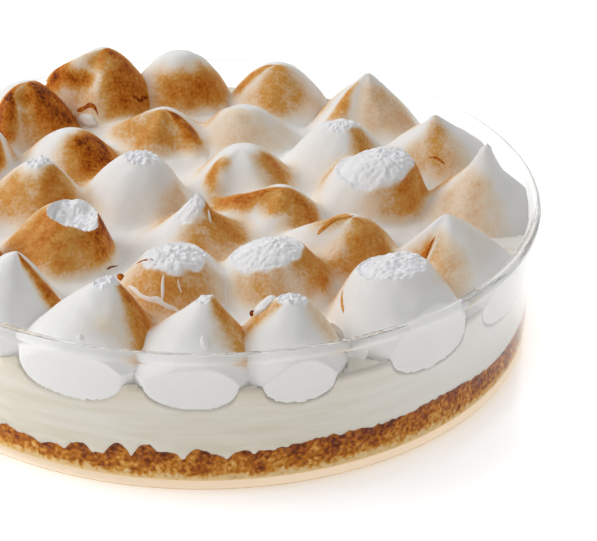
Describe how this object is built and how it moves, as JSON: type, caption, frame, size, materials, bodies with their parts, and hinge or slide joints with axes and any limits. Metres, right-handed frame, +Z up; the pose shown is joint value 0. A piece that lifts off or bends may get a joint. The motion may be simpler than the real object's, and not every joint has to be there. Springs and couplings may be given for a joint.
{
  "type": "lemon meringue pie",
  "caption": "Round pie in a clear straight-walled dish: crumb base, pale lemon cream filling and rings of piped, torch-browned meringue kisses, standing flat on its base.",
  "frame": {"origin": "centre of the dish's flat underside", "axes": "+Z up; the dish is round about Z, and the pictured side faces -Y with +X to its right"},
  "size_m": [0.24, 0.24, 0.066],
  "materials": {
    "clear_dish": "clear, smooth and colourless",
    "biscuit_crumb": "dry, grainy pressed biscuit crumb",
    "lemon_cream": "smooth set cream, slightly moist",
    "toasted_meringue": "soft satin foam, browned in patches by a torch"
  },
  "bodies": {
    "root": {"dish": "clear_dish", "crumb_base": "biscuit_crumb", "lemon_filling": "lemon_cream", "meringue_01": "toasted_meringue", "meringue_02": "toasted_meringue", "meringue_03": "toasted_meringue", "meringue_04": "toasted_meringue", "meringue_05": "toasted_meringue", "meringue_06": "toasted_meringue", "meringue_07": "toasted_meringue", "meringue_08": "toasted_meringue", "meringue_09": "toasted_meringue", "meringue_10": "toasted_meringue", "meringue_11": "toasted_meringue", "meringue_12": "toasted_meringue", "meringue_13": "toasted_meringue", "meringue_14": "toasted_meringue", "meringue_15": "toasted_meringue", "meringue_16": "toasted_meringue", "meringue_17": "toasted_meringue", "meringue_18": "toasted_meringue", "meringue_19": "toasted_meringue", "meringue_20": "toasted_meringue", "meringue_21": "toasted_meringue", "meringue_22": "toasted_meringue", "meringue_23": "toasted_meringue", "meringue_24": "toasted_meringue", "meringue_25": "toasted_meringue", "meringue_26": "toasted_meringue", "meringue_27": "toasted_meringue", "meringue_28": "toasted_meringue", "meringue_29": "toasted_meringue", "meringue_30": "toasted_meringue"}
  },
  "joints": []
}
